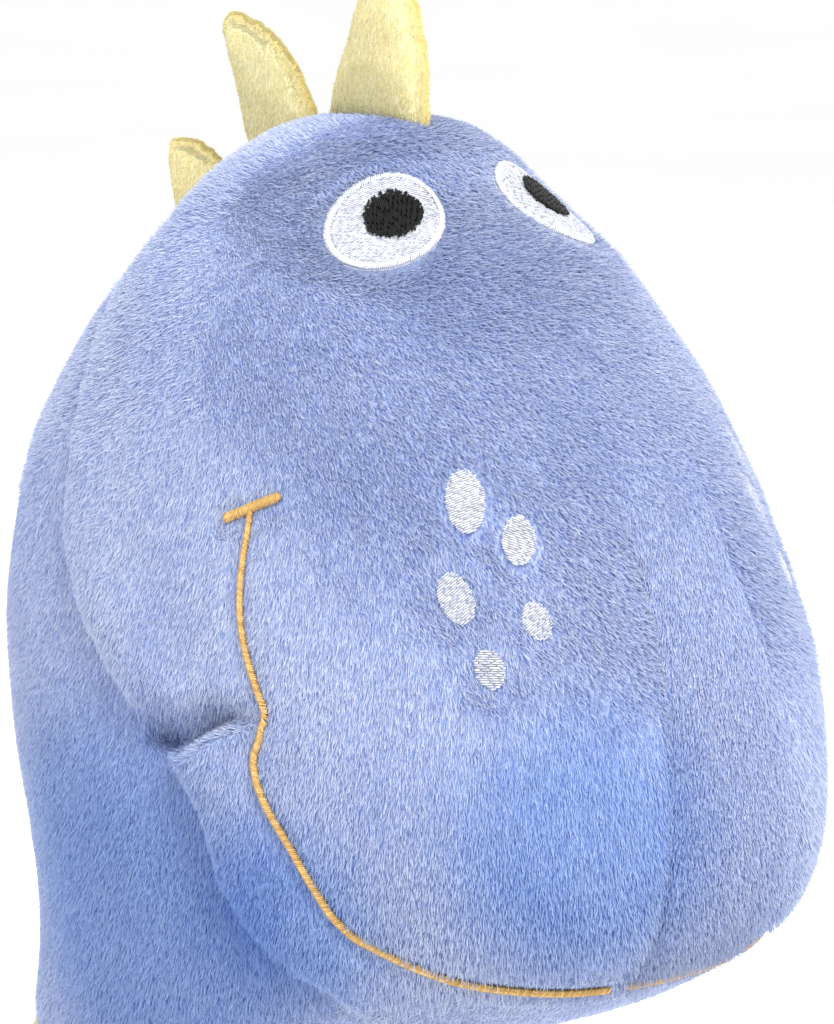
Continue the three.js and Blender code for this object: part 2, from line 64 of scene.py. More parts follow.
# ---- sizes of the cloth, the pile and the thread, in metres ----
BODY_VOXEL = 4.4 * MM
LIMB_VOXEL = 3.4 * MM
SPIKE_VOXEL = 1.5 * MM
CLOTH_THICK = 1.4 * MM
PILE_UP = 0.65 * MM  # how high the tips of the pile stand
PILE_ALONG = 1.5 * MM  # how far they lean over
TUFT_RADIUS = 0.17 * MM
TUFTS_PER_MM2 = 7.0
LIMB_SHARE = 0.6  # of that density, on the torso and the limbs
THREAD_RADIUS = 0.21 * MM
THREAD_LIFT = 0.6 * MM  # embroidery lies on the pressed pile

rng = np.random.default_rng(7)


# ---- small geometry helpers ----
def node_arrays(name):
    """Vertices and faces of a CAD node."""
    mesh = frame["nodes"][name].data
    co = np.empty(len(mesh.vertices) * 3)
    mesh.vertices.foreach_get("co", co)
    return co.reshape(-1, 3), [tuple(p.vertices) for p in mesh.polygons]


def node_points(name):
    return node_arrays(name)[0]


def merged(*parts):
    """Several meshes, each as vertices and faces, as one."""
    points, faces, start = [], [], 0
    for co, polys in parts:
        points.append(co)
        faces += [tuple(i + start for i in p) for p in polys]
        start += len(co)
    return np.vstack(points), faces


def joined(names):
    return merged(*[node_arrays(name) for name in names])


def make_object(name, points, faces):
    mesh = bpy.data.meshes.new(name)
    mesh.from_pydata([tuple(p) for p in points], [], [tuple(int(i) for i in f) for f in faces])
    mesh.validate()
    mesh.update()
    obj = bpy.data.objects.new(name, mesh)
    bpy.context.scene.collection.objects.link(obj)
    return obj


def grid_object(name, points, quads):
    """The same from numpy arrays, for large meshes of quads."""
    mesh = bpy.data.meshes.new(name)
    mesh.vertices.add(len(points))
    mesh.vertices.foreach_set("co", np.asarray(points, np.float32).ravel())
    quads = np.asarray(quads, np.int32)
    mesh.loops.add(quads.size)
    mesh.loops.foreach_set("vertex_index", quads.ravel())
    mesh.polygons.add(len(quads))
    mesh.polygons.foreach_set("loop_start", np.arange(len(quads), dtype=np.int32) * quads.shape[1])
    mesh.update(calc_edges=True)
    mesh.validate()
    obj = bpy.data.objects.new(name, mesh)
    bpy.context.scene.collection.objects.link(obj)
    return obj


def bake_modifiers(obj):
    """Applies every modifier of the object to its mesh."""
    bpy.context.view_layer.update()
    graph = bpy.context.evaluated_depsgraph_get()
    mesh = bpy.data.meshes.new_from_object(obj.evaluated_get(graph), depsgraph=graph)
    obj.modifiers.clear()
    old = obj.data
    obj.data = mesh
    bpy.data.meshes.remove(old)
    return obj


def coords(obj):
    co = np.empty(len(obj.data.vertices) * 3)
    obj.data.vertices.foreach_get("co", co)
    return co.reshape(-1, 3)


def set_coords(obj, co):
    obj.data.vertices.foreach_set("co", np.asarray(co, np.float32).ravel())
    obj.data.update()


def normals(obj):
    out = np.empty(len(obj.data.vertices) * 3)
    obj.data.vertices.foreach_get("normal", out)
    return out.reshape(-1, 3)


def shade_smooth(obj):
    obj.data.polygons.foreach_set("use_smooth", np.ones(len(obj.data.polygons), bool))


def edge_ends(obj):
    edges = np.empty(len(obj.data.edges) * 2, np.int64)
    obj.data.edges.foreach_get("vertices", edges)
    return edges.reshape(-1, 2).T


def neighbour_count(a, b, size):
    return np.bincount(np.concatenate([a, b]), minlength=size)[:, None].astype(float)


def to_neighbours(co, a, b, count):
    """From each point to the mean of the points that its edges a-b lead to."""
    total = np.zeros_like(co)
    for k in range(3):
        total[:, k] = np.bincount(a, co[b, k], len(co)) + np.bincount(b, co[a, k], len(co))
    return total / np.maximum(count, 1) - co


def smooth(obj, rounds):
    """Evens the surface without shrinking it."""
    a, b = edge_ends(obj)
    co = coords(obj)
    count = neighbour_count(a, b, len(co))
    for step in range(rounds * 2):
        co = co + to_neighbours(co, a, b, count) * (0.5 if step % 2 == 0 else -0.52)
    set_coords(obj, co)


def voxel_remesh(obj, size):
    modifier = obj.modifiers.new("remesh", "REMESH")
    modifier.mode = "VOXEL"
    modifier.voxel_size = size
    return bake_modifiers(obj)


def subdivide(obj, levels):
    modifier = obj.modifiers.new("subdivide", "SUBSURF")
    modifier.levels = levels
    modifier.render_levels = levels
    return bake_modifiers(obj)


def noise_field(points, scale, seed):
    """Smooth noise in -1..1 at each point; scale is the size of its features in metres."""
    shift = Vector((seed * 3.1, seed * 7.7, seed * 1.9))
    return np.array([noise.noise(Vector(p) / scale + shift) for p in points])


def tree_of(obj_or_arrays):
    if isinstance(obj_or_arrays, bpy.types.Object):
        co = coords(obj_or_arrays)
        polys = [tuple(p.vertices) for p in obj_or_arrays.data.polygons]
    else:
        co, polys = obj_or_arrays
    return BVHTree.FromPolygons([tuple(c) for c in co], polys)


def distance_to(tree, points):
    return np.array([tree.find_nearest(Vector(p))[3] for p in points])


INNER_PRESSURE = 4.0
CLOTH_FRAMES = 20


def inflate(obj, cap, pinned=None):
    """Cloth simulation under inner pressure; no point ends further than cap from its start."""
    start = coords(obj)
    if pinned is not None:
        group = obj.vertex_groups.new(name="pinned")
        for i in np.nonzero(pinned > 0.05)[0]:
            group.add([int(i)], float(pinned[i]), "REPLACE")
    cloth = obj.modifiers.new("cloth", "CLOTH")
    settings = cloth.settings
    settings.quality = 5
    settings.mass = 0.15
    settings.tension_stiffness = 12
    settings.compression_stiffness = 8
    settings.shear_stiffness = 6
    settings.bending_stiffness = 0.3
    settings.use_pressure = True
    settings.uniform_pressure_force = INNER_PRESSURE
    settings.effector_weights.gravity = 0
    settings.shrink_min = -0.02
    if pinned is not None:
        settings.vertex_group_mass = "pinned"
    cloth.point_cache.frame_start = 1
    cloth.point_cache.frame_end = CLOTH_FRAMES
    for number in range(1, CLOTH_FRAMES + 1):
        bpy.context.scene.frame_set(number)
    bake_modifiers(obj)
    moved = coords(obj) - start
    length = np.linalg.norm(moved, axis=1)
    share = np.minimum(1.0, cap / np.maximum(length, 1e-9))[:, None]
    set_coords(obj, start + moved * share)
    obj.vertex_groups.clear()
    bpy.context.scene.frame_set(1)
    return obj


# ---- places taken from the frame ----
HEAD_NODES = ["face_panel", "chin_panel", "head_back_panel_right", "head_back_panel_left"]
TORSO_NODES = ["belly_panel", "body_back_panel_right", "body_back_panel_left"]


def joint_at(name):
    return np.array(next(j for j in frame["joints"] if j["name"] == name)["pos_m"])


between_eyes = joint_at("neck_nod") + np.array([0, -47, 190]) * MM
head_skin_end = min(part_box(n)[0][2] for n in HEAD_NODES)
torso_skin_top = max(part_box(n)[1][2] for n in TORSO_NODES)


def face_point(y_from_eyes, z_from_eyes, x=0.0):
    """A place given by its distance from the point between the eyes, in millimetres."""
    return between_eyes + np.array([x, y_from_eyes, z_from_eyes]) * MM


chin_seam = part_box("chin_panel")[1][2]
neck_seam = (head_skin_end + torso_skin_top) / 2
seat_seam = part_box("seat_panel")[1][2]
back_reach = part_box("body_back_panel_left")[1][1]


# ---- materials ----
def rgb(r, g, b):
    """A colour given as on a screen, as the linear value that a shader takes."""
    def linear(c):
        c /= 255
        return c / 12.92 if c <= 0.04045 else ((c + 0.055) / 1.055) ** 2.4
    return (linear(r), linear(g), linear(b), 1.0)


class Nodes:
    """A new material and short calls to wire it."""

    def __init__(self, name):
        self.material = bpy.data.materials.new(name)
        self.material.use_nodes = True
        self.tree = self.material.node_tree
        self.shader = self.tree.nodes["Principled BSDF"]
        self.output = self.tree.nodes["Material Output"]

    def add(self, kind, **settings):
        node = self.tree.nodes.new(kind)
        for key, value in settings.items():
            setattr(node, key, value)
        return node

    def link(self, source, target):
        self.tree.links.new(source, target)

    def scaled_place(self, scale, attribute=None):
        mapping = self.add("ShaderNodeMapping")
        mapping.inputs["Scale"].default_value = scale
        if attribute:
            place = self.add("ShaderNodeAttribute", attribute_name=attribute)
            self.link(place.outputs["Vector"], mapping.inputs["Vector"])
        else:
            place = self.add("ShaderNodeTexCoord")
            self.link(place.outputs["Object"], mapping.inputs["Vector"])
        return mapping.outputs["Vector"]

    def noise(self, vector, detail=2.0, roughness=0.5, distortion=0.0):
        node = self.add("ShaderNodeTexNoise")
        node.inputs["Scale"].default_value = 1.0
        node.inputs["Detail"].default_value = detail
        node.inputs["Roughness"].default_value = roughness
        node.inputs["Distortion"].default_value = distortion
        self.link(vector, node.inputs["Vector"])
        return node.outputs["Fac"]

    def nearness(self, centre, radius):
        """1 close to a point, falling softly to 0 at the radius."""
        place = self.add("ShaderNodeTexCoord")
        distance = self.add("ShaderNodeVectorMath", operation="DISTANCE")
        self.link(place.outputs["Object"], distance.inputs[0])
        distance.inputs[1].default_value = tuple(centre)
        fall = self.add("ShaderNodeMapRange", interpolation_type="SMOOTHSTEP")
        fall.inputs["From Min"].default_value = 0.35 * radius
        fall.inputs["From Max"].default_value = radius
        fall.inputs["To Min"].default_value = 1.0
        fall.inputs["To Max"].default_value = 0.0
        self.link(distance.outputs["Value"], fall.inputs["Value"])
        return fall.outputs["Result"]

    def ramp(self, value, stops):
        node = self.add("ShaderNodeValToRGB")
        elements = node.color_ramp.elements
        elements[0].position, elements[0].color = stops[0]
        elements[1].position, elements[1].color = stops[-1]
        for position, colour in stops[1:-1]:
            elements.new(position).color = colour
        self.link(value, node.inputs["Fac"])
        return node.outputs["Color"]

    def mix(self, kind, share, a, b):
        node = self.add("ShaderNodeMix", data_type="RGBA", blend_type=kind)
        for socket, value in ((node.inputs["Factor"], share), (node.inputs["A"], a), (node.inputs["B"], b)):
            if isinstance(value, bpy.types.NodeSocket):
                self.link(value, socket)
            else:
                socket.default_value = value
        return node.outputs["Result"]

    def math(self, operation, a, b):
        node = self.add("ShaderNodeMath", operation=operation)
        for socket, value in zip(node.inputs, (a, b)):
            if isinstance(value, bpy.types.NodeSocket):
                self.link(value, socket)
            else:
                socket.default_value = value
        return node.outputs["Value"]

    def bump(self, height, strength, distance):
        node = self.add("ShaderNodeBump")
        node.inputs["Strength"].default_value = strength
        node.inputs["Distance"].default_value = distance
        self.link(height, node.inputs["Height"])
        self.link(node.outputs["Normal"], self.shader.inputs["Normal"])

    def finish(self, roughness, sheen=0.0, sheen_tint=(1, 1, 1, 1), specular=0.3):
        self.shader.inputs["Roughness"].default_value = roughness
        self.shader.inputs["Sheen Weight"].default_value = sheen
        self.shader.inputs["Sheen Roughness"].default_value = 0.5
        self.shader.inputs["Sheen Tint"].default_value = sheen_tint
        self.shader.inputs["Specular IOR Level"].default_value = specular
        return self.material


def patches_and_painted_shade(m, colour, zones):
    """Broad soft patches of tone over a colour, and painted shade in the given zones, where the pile is also
    brushed against its nap.
    """
    patches = m.noise(m.scaled_place((26, 26, 20)), 3.0, 0.5, 0.4)
    shade = m.ramp(patches, [(0.34, (0.84, 0.88, 0.95, 1)), (0.62, (1, 1, 1, 1))])
    colour = m.mix("MULTIPLY", 1.0, colour, shade)
    for x, y, z, radius in zones:
        # painted shade: each zone darkens the colour towards its centre
        near = m.nearness(face_point(y, z, x), radius * MM)
        colour = m.mix("MULTIPLY", near, colour, PAINTED_SHADE_AND_NAP_TINT)
    return colour


def plush_material(name, dark, middle, light, zones, edge=None):
    """Cloth under the pile: streaks along the nap, broad patches of tone and zones of painted shade, a darker
    seam edge.
    """
    m = Nodes(name)
    streaks = m.noise(m.scaled_place((1.0, 1.0, 1.0), "nap_place"), 2.0, 0.55)
    colour = m.ramp(streaks, [(0.32, dark), (0.5, middle), (0.66, light)])
    colour = patches_and_painted_shade(m, colour, zones)
    if edge:
        seam = m.add("ShaderNodeAttribute", attribute_name="edge").outputs["Fac"]
        colour = m.mix("MIX", seam, colour, edge)
    m.link(colour, m.shader.inputs["Base Color"])
    fine = m.noise(m.scaled_place((2.2, 2.2, 1.6), "nap_place"), 2.0, 0.6)
    m.bump(m.math("ADD", streaks, m.math("MULTIPLY", fine, 0.5)), 0.75, 0.0011)
    return m.finish(0.9, 0.35, light, 0.15)


def pile_material(name, root, tip, pale, zones):
    """The tufts: darker at the root as painted shade deep in the pile, paler at the tip, each a little
    different.
    """
    m = Nodes(name)
    info = m.add("ShaderNodeHairInfo")
    # painted shade: the colour darkens from the tip down to the root, where the tufts shade each other
    shaded_root_to_tip = m.ramp(info.outputs["Intercept"], [(0.0, root), (0.75, tip)])
    shades = m.ramp(info.outputs["Random"], [(0.0, (0.70, 0.76, 0.88, 1)), (0.5, (1, 1, 1, 1))])
    colour = m.mix("MULTIPLY", 1.0, shaded_root_to_tip, shades)
    bright = m.math("GREATER_THAN", info.outputs["Random"], 0.72)
    colour = m.mix("MIX", m.math("MULTIPLY", bright, 0.55), colour, pale)
    m.link(patches_and_painted_shade(m, colour, zones), m.shader.inputs["Base Color"])
    return m.finish(0.75, 0.0, (1, 1, 1, 1), 0.12)


def thread_material(name, dark, light, roughness, sheen, specular):
    """Polyester thread: fine fibres and a shade for each stitch."""
    m = Nodes(name)
    shade = m.add("ShaderNodeAttribute", attribute_name="stitch").outputs["Fac"]
    fibres = m.noise(m.scaled_place((9000, 9000, 9000)), 2.0, 0.6)
    colour = m.ramp(shade, [(0.0, dark), (1.0, light)])
    flecks = m.ramp(fibres, [(0.3, (0.82, 0.82, 0.82, 1)), (0.6, (1, 1, 1, 1))])
    m.link(m.mix("MULTIPLY", 1.0, colour, flecks), m.shader.inputs["Base Color"])
    m.bump(fibres, 0.3, 0.00008)
    return m.finish(roughness, sheen, light, specular)


def filling_material(name, dark, light, scale):
    m = Nodes(name)
    fibres = m.noise(m.scaled_place((scale, scale, scale)), 5.0, 0.7)
    m.link(m.ramp(fibres, [(0.35, dark), (0.65, light)]), m.shader.inputs["Base Color"])
    m.bump(fibres, 0.6, 0.0012)
    return m.finish(0.95, 0.2, light, 0.1)


# Painted shade on the lower cheek, jaw and neck, where the pile is also brushed against its nap: X, Y and Z
# from the eyes, and radius.
SHADED_AND_BRUSHED_ZONES = [(-34, -64, -108, 36), (-55, 28, -132, 58), (-58, -14, -124, 26), (50, 34, -130, 50)]
# The painted shade: a darker, bluer tint that multiplies the colour in those zones.
PAINTED_SHADE_AND_NAP_TINT = (0.60, 0.75, 0.95, 1)
BLUE_DARK = rgb(118, 138, 198)
BLUE = rgb(156, 171, 212)
BLUE_LIGHT = rgb(194, 205, 232)
CREAM_DARK = rgb(230, 215, 152)
CREAM = rgb(240, 228, 174)
CREAM_LIGHT = rgb(247, 239, 198)
blue_cloth = plush_material("blue_plush_cloth", BLUE_DARK, BLUE, BLUE_LIGHT, SHADED_AND_BRUSHED_ZONES)
# Root colour of the blue pile: painted shade deep in the pile.
PILE_ROOT_SHADED = rgb(138, 157, 205)
PILE_TIP = rgb(203, 210, 232)
PILE_PALE = rgb(229, 234, 247)
blue_pile = pile_material("blue_plush_pile", PILE_ROOT_SHADED, PILE_TIP, PILE_PALE, SHADED_AND_BRUSHED_ZONES)
cream_cloth = plush_material(
    "cream_plush_cloth", CREAM_DARK, CREAM, CREAM_LIGHT, [], rgb(222, 196, 108),
)
# The cream pile takes its darkest cream at the root: painted shade deep in the pile.
cream_pile = pile_material("cream_plush_pile", CREAM_DARK, CREAM, CREAM_LIGHT, [])
white_thread = thread_material("white_thread", rgb(176, 179, 194), rgb(233, 236, 244), 0.42, 0.1, 0.5)
black_thread = thread_material("black_thread", rgb(3, 3, 4), rgb(20, 20, 22), 0.55, 0.0, 0.25)
gold_thread = thread_material("gold_thread", rgb(180, 134, 68), rgb(238, 200, 126), 0.4, 0.0, 0.5)
fibre_filling = filling_material("fibre_filling", rgb(214, 212, 206), rgb(250, 249, 246), 420)
pellet_cloth = filling_material("pellet_cloth", rgb(196, 190, 176), rgb(232, 228, 216), 900)


# ---- the plush body: head and torso as one closed form, later cut into its sewn panels ----
def largest_shell(obj):
    """Drops the inner shells that the remesh leaves where the CAD solids keep their gaps."""
    a, b = edge_ends(obj)
    label = np.arange(len(obj.data.vertices))
    while True:
        low = np.minimum(label[a], label[b])
        new = label.copy()
        np.minimum.at(new, a, low)
        np.minimum.at(new, b, low)
        new = new[new]
        if (new == label).all():
            break
        label = new
    co = coords(obj)
    shells = np.unique(label)
    sizes = [np.ptp(co[label == shell], axis=0).prod() for shell in shells]
    keep = shells[int(np.argmax(sizes))]
    bm = bmesh.new()
    bm.from_mesh(obj.data)
    bm.verts.ensure_lookup_table()
    dropped = [bm.verts[int(i)] for i in np.nonzero(label != keep)[0]]
    bmesh.ops.delete(bm, geom=dropped, context="VERTS")
    bm.to_mesh(obj.data)
    bm.free()
    return obj


def hull_of(points):
    """The convex hull of some points, as arrays."""
    bm = bmesh.new()
    for p in points:
        bm.verts.new(p)
    bmesh.ops.convex_hull(bm, input=bm.verts)
    bmesh.ops.delete(bm, geom=[v for v in bm.verts if not v.link_faces], context="VERTS")
    bm.verts.index_update()
    co = np.array([v.co[:] for v in bm.verts])
    faces = [tuple(v.index for v in f.verts) for f in bm.faces]
    bm.free()
    return co, faces


def ball_arrays(centre, radius):
    bm = bmesh.new()
    bmesh.ops.create_icosphere(bm, subdivisions=4, radius=radius)
    bm.verts.index_update()
    co = np.array([v.co[:] for v in bm.verts]) + centre
    faces = [tuple(v.index for v in f.verts) for f in bm.faces]
    bm.free()
    return co, faces


def neck_filler():
    """A slab that closes the gap between the head's and the torso's cloth."""
    rim = []
    for name in HEAD_NODES:
        co = node_points(name)
        rim.append(co[co[:, 2] < head_skin_end + 1.5 * MM])
    for name in TORSO_NODES:
        co = node_points(name)
        rim.append(co[co[:, 2] > torso_skin_top - 1.5 * MM])
    return hull_of(np.vstack(rim))


def tail_plug():
    """Fills the tail's socket up to the curve of the back."""
    centre = joint_at("tail_lift")
    co, faces = ball_arrays(centre, 34 * MM)
    limit = back_reach - 1 * MM - 8 * MM * (co[:, 0] / (34 * MM)) ** 2
    co[:, 1] = np.minimum(co[:, 1], limit)
    return co, faces


def body_form():
    solids = HEAD_NODES + TORSO_NODES + ["head_stuffing", "body_stuffing", "pellet_pouch", "seat_panel"]
    points, faces = merged(joined(solids), neck_filler(), tail_plug())
    form = make_object("body_form", points, faces)
    voxel_remesh(form, BODY_VOXEL)
    largest_shell(form)
    smooth(form, 14)
    co = coords(form)
    set_coords(form, co - normals(form) * 0.8 * MM)
    low = (co[:, 2] < 8 * MM).astype(float)
    inflate(form, 1.8 * MM, low)
    smooth(form, 2)
    subdivide(form, 2)
    co = coords(form)
    co[:, 2] = np.maximum(co[:, 2], 0.2 * MM)
    set_coords(form, co)
    return form


form = body_form()


# ---- panels ----
def quads_of(obj):
    out = np.empty(len(obj.data.polygons) * 4, np.int64)
    obj.data.polygons.foreach_get("vertices", out)
    return out.reshape(-1, 4)


PANELS = (
    "face_panel", "chin_panel", "head_back_panel_right", "head_back_panel_left",
    "belly_panel", "body_back_panel_right", "body_back_panel_left", "seat_panel",
)
FACE, CHIN, HEAD_BACK, BELLY, BODY_BACK, SEAT = 0, 1, 2, 4, 5, 7


def panel_labels(obj):
    """For each face, the panel of cloth that it belongs to."""
    quads = quads_of(obj)
    middle = coords(obj)[quads].mean(axis=1)
    front = tree_of(joined(["face_panel", "chin_panel", "belly_panel"]))
    back = tree_of(joined([n for n in HEAD_NODES + TORSO_NODES if "back" in n]))
    is_front = distance_to(front, middle) < distance_to(back, middle)
    head = middle[:, 2] > neck_seam
    left = (middle[:, 0] > 0).astype(int)
    label = np.where(head, HEAD_BACK + left, BODY_BACK + left)
    label[is_front & head] = np.where(middle[is_front & head, 2] > chin_seam, FACE, CHIN)
    label[is_front & ~head] = BELLY
    label[middle[:, 2] < seat_seam] = SEAT
    return label


def edge_sides(quads):
    """Every edge with the two faces beside it."""
    a = quads.ravel()
    b = np.roll(quads, -1, axis=1).ravel()
    face = np.repeat(np.arange(len(quads)), 4)
    low, high = np.minimum(a, b), np.maximum(a, b)
    order = np.lexsort((high, low))
    low, high, face = low[order], high[order], face[order]
    return low[::2], high[::2], face[::2], face[1::2]


def even_seams(obj, label, rounds=10):
    """Straightens the lines between panels and gives back their edges."""
    low, high, one, two = edge_sides(quads_of(obj))
    seam = label[one] != label[two]
    a, b = low[seam], high[seam]
    co = coords(obj)
    count = neighbour_count(a, b, len(co))
    on_line = count == 2
    for step in range(rounds * 2):
        factor = 0.5 if step % 2 == 0 else -0.47
        co = np.where(on_line, co + to_neighbours(co, a, b, count) * factor, co)
    set_coords(obj, co)
    return a, b, one[seam], two[seam]


def points_tree(points):
    tree = KDTree(len(points))
    for i, p in enumerate(points):
        tree.insert(p, i)
    tree.balance()
    return tree


def tree_distances(tree, points):
    return np.array([tree.find(p)[2] for p in points])


def along(points, step=0.7 * MM):
    """Points close together along a line through the given ones."""
    points = np.asarray(points, float)
    out = []
    for a, b in zip(points[:-1], points[1:]):
        n = max(int(np.linalg.norm(b - a) / step), 1)
        out.append(a + (b - a) * (np.arange(n) / n)[:, None])
    out.append(points[-1:])
    return np.vstack(out)


def bell(distance, width):
    return np.exp(-((distance / width) ** 2))


def ramp01(value, low, high):
    f = np.clip((value - low) / (high - low), 0, 1)
    return f * f * (3 - 2 * f)


# ---- the sewn relief of the body: seams, snout darts, pinched mouth corners ----
# Snout dart, from the brow to the lip, and the pinch behind the mouth: Y and Z from the eyes and
# distance from the centre plane, in millimetres.
DART = [
    (12.5, -56, -60), (14.5, -63, -76), (16, -66.5, -90), (18, -69, -106), (18.5, -69, -118), (17, -62, -134),
]
PINCH = [(64.5, -11.5, -87), (65.5, -5, -88.5), (66.5, 1, -91.5), (67, 7, -95.5)]
PINCH_DEPTH = 6.5 * MM
PINCH_WIDTH = 12.0 * MM


def mirrored_lines(points):
    return [along([face_point(y, z, sign * x) for x, y, z in points]) for _, sign in SIDES]


def press_seams(obj, seam_ends):
    a, b, one, two = seam_ends
    co = coords(obj)
    tree = points_tree(np.vstack([co[a], (co[a] + co[b]) / 2]))
    distance = tree_distances(tree, co)
    puckers = 1 + 0.45 * noise_field(co, 7 * MM, 1)
    return 1.1 * MM * bell(distance, 1.3 * MM) + 0.8 * MM * puckers * bell(distance, 6 * MM)


def press_darts(obj):
    co = coords(obj)
    tree = points_tree(np.vstack(mirrored_lines(DART)))
    distance = tree_distances(tree, co)
    return 0.8 * MM * bell(distance, 1.0 * MM) + 0.5 * MM * bell(distance, 5 * MM)


def press_pinch(obj):
    """The cheek rolls down into a fold behind the mouth; the lip under it has a crisp upper edge."""
    co = coords(obj)
    depth = np.zeros(len(co))
    line = np.array([face_point(y, z, x) for x, y, z in PINCH])
    near = np.linalg.norm(np.abs(co) * [1, 0, 0] + co * [0, 1, 1] - line.mean(axis=0), axis=1) < 30 * MM
    for i in np.nonzero(near)[0]:
        y, z = co[i, 1], co[i, 2]
        share = (y - line[0, 1]) / (line[-1, 1] - line[0, 1])
        if share < -0.15:
            continue
        ridge = np.interp(y, line[:, 1], line[:, 2])
        above = z - ridge
        grow = ramp01(share, -0.15, 0.75) * (1 - ramp01(share, 1.1, 1.9))
        width = PINCH_WIDTH * (0.35 + 0.65 * min(max(share, 0), 1))
        if above > 0:
            fade = 1 - ramp01(above, 0.1 * width, width)
        else:
            fade = 1 - ramp01(-above, 0.0, 1.8 * MM)
        depth[i] = PINCH_DEPTH * grow * fade
    return depth


def side_step(obj):
    """The face bulges over its back seam, and behind it the neck's cloth sinks."""
    co = coords(obj)
    tree = points_tree(side_seam)
    step = np.zeros(len(co))
    heights = (co[:, 2] - between_eyes[2]) / MM
    strength = ramp01(-heights, 15, 90) * ramp01(heights, -166, -150)
    for i in np.nonzero(strength > 0.01)[0]:
        place, _, distance = tree.find(co[i])
        if distance > 22 * MM:
            continue
        if co[i, 1] > place[1]:
            step[i] = -2.6 * MM * strength[i] * (1 - ramp01(distance, 3 * MM, 22 * MM))
        else:
            puff = ramp01(distance, 0, 4 * MM) * (1 - ramp01(distance, 6 * MM, 22 * MM))
            step[i] = 1.3 * MM * strength[i] * puff
    return step


labels = panel_labels(form)
seam_ends = even_seams(form, labels)
form_co = coords(form)
side_seam = [
    form_co[i] for i, one, two in zip(seam_ends[0], labels[seam_ends[2]], labels[seam_ends[3]])
    if FACE in (one, two) and (one in (2, 3) or two in (2, 3))
]


def press_embroidery(obj):
    """The pile and the cloth give way a little under each patch of thread."""
    co = coords(obj)
    depth = np.zeros(len(co))
    for name in frame["nodes"]:
        if name.startswith(("eye_white", "cheek_spot", "mouth_")):
            low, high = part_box(name)
            pad = 4 * MM
            inside = np.all((co > np.array(low) - pad) & (co < np.array(high) + pad), axis=1)
            if not inside.any():
                continue
            tree = tree_of(node_arrays(name))
            picked = np.nonzero(inside)[0]
            distance = distance_to(tree, co[picked])
            reach = 0.7 * MM if name.startswith("eye") else 0.5 * MM
            depth[picked] = np.maximum(depth[picked], reach * (1 - ramp01(distance, 1 * MM, 3.5 * MM)))
    return depth


broad_lumps = 0.55 * MM * noise_field(form_co, 34 * MM, 2)
fine_lumps = 0.22 * MM * noise_field(form_co, 13 * MM, 3)
waves = side_step(form) + broad_lumps + fine_lumps
pressed = press_seams(form, seam_ends) + press_darts(form) + press_pinch(form) + press_embroidery(form)
raised = (waves - pressed) * ramp01(form_co[:, 2], 1 * MM, 12 * MM)
set_coords(form, form_co + normals(form) * raised[:, None])
form_tree = tree_of(form)


# ---- pile: short tufts on every plush piece ----
def nap_attribute(obj):
    """Place along the nap, in streak widths: the pile lies downwards, and backwards on the crown."""
    co, n = coords(obj), normals(obj)
    bend = noise_field(co, 30 * MM, 4)[:, None] * np.array([0.9, 0.9, 0.0]) * MM
    place = (co + bend) / (np.array([0.55, 0.55, 2.6]) * MM)
    flat = ramp01(np.abs(n[:, 2]), 0.65, 0.9)[:, None]
    lying = (co + bend) / (np.array([0.55, 2.6, 0.55]) * MM)
    attribute = obj.data.attributes.new("nap_place", "FLOAT_VECTOR", "POINT")
    attribute.data.foreach_set("vector", (place * (1 - flat) + lying * flat).astype(np.float32).ravel())


def pile_system(obj, name, weight, direction, slot, seed, length, density, lift):
    """Hair on the vertices that have weight, leaning along a direction."""
    if weight.max() < 0.05:
        return
    group = obj.vertex_groups.new(name=name)
    step = np.round(weight * 20) / 20
    for value in np.unique(step):
        if value > 0:
            chosen = np.nonzero(step == value)[0]
            group.add([int(i) for i in chosen], float(value), "REPLACE")
    total = np.array([step[list(p.vertices)].mean() * p.area for p in obj.data.polygons]).sum()
    modifier = obj.modifiers.new(name, "PARTICLE_SYSTEM")
    system = modifier.particle_system
    system.name = name
    system.vertex_group_density = name
    system.seed = seed
    settings = system.settings
    settings.type = "HAIR"
    settings.use_advanced_hair = True
    settings.count = max(int(total / MM ** 2 * density), 1)
    settings.hair_step = 3
    settings.render_step = 2
    settings.display_step = 2
    settings.distribution = "RAND"
    settings.use_modifier_stack = False
    settings.normal_factor = PILE_UP * lift * length / 4
    settings.object_align_factor = [c * PILE_ALONG * length / 4 for c in direction]
    settings.factor_random = 0.42 * MM * length / 4
    settings.root_radius = TUFT_RADIUS * math.sqrt(length)
    settings.tip_radius = 0.25 * TUFT_RADIUS * math.sqrt(length)
    settings.radius_scale = 1.0
    settings.material = slot


def grow_pile(obj, material, seed, bare=None, length=1.0, share=1.0):
    """Tufts lean down, and away from the crown's ridge where the cloth turns level."""
    obj.data.materials.append(material)
    slot = len(obj.data.materials)
    n = normals(obj)
    cover = np.ones(len(n)) if bare is None else 1 - bare
    steep = ramp01(n[:, 2], 0.18, 0.40)
    level = ramp01(n[:, 2], 0.60, 0.82)
    under = ramp01(-n[:, 2], 0.45, 0.75)
    back = ramp01(n[:, 1], -0.12, 0.12)
    zones = (
        ("down", (1 - steep) * (1 - under), (0, 0, -1), 1.0),
        ("slope_front", (steep - level) * (1 - back), (0, -0.62, -0.62), 1.35),
        ("slope_back", (steep - level) * back, (0, 0.62, -0.62), 1.35),
        ("level_front", level * (1 - back), (0, -0.95, -0.2), 1.3),
        ("level_back", level * back, (0, 0.95, -0.2), 1.3),
        ("under", under, (0, 0.5, -0.1), 0.7),
    )
    density = TUFTS_PER_MM2 * share
    for number, (name, weight, towards, lift) in enumerate(zones, seed):
        pile_system(obj, "pile_" + name, cover * weight, towards, slot, number, length, density, lift)


